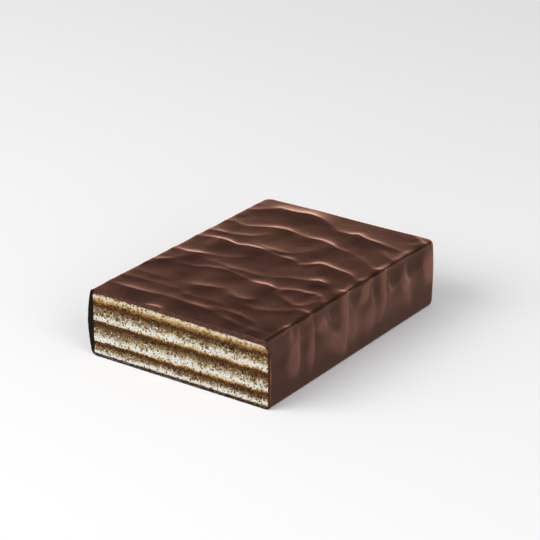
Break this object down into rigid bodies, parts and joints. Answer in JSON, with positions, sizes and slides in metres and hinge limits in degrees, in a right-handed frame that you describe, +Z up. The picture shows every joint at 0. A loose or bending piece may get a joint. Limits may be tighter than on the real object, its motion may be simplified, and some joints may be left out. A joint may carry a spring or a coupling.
{
  "type": "wafer cake",
  "caption": "Chocolate-coated wafer cake bar, cut straight across at one end so that its crisp wafer sheets and cocoa cream layers show.",
  "frame": {"origin": "centre of the bounding box's base, on the surface the cake lies on", "axes": "+Y along the length, from the cut face to the coated back end; +X across the width, to the right seen from the cut; +Z up"},
  "size_m": [0.0408, 0.0554, 0.0135],
  "materials": {
    "chocolate": "satin-gloss dark milk chocolate coating with blown ripples and hanging lobes",
    "wafer": "matte porous crisp wafer, pale cream with toasted pores",
    "cream": "matte crumbly cocoa cream, darker along its upper edge"
  },
  "bodies": {
    "root": {"coating": "chocolate", "wafer_1": "wafer", "cream_1": "cream", "wafer_2": "wafer", "cream_2": "cream", "wafer_3": "wafer", "cream_3": "cream", "wafer_4": "wafer"}
  },
  "joints": []
}
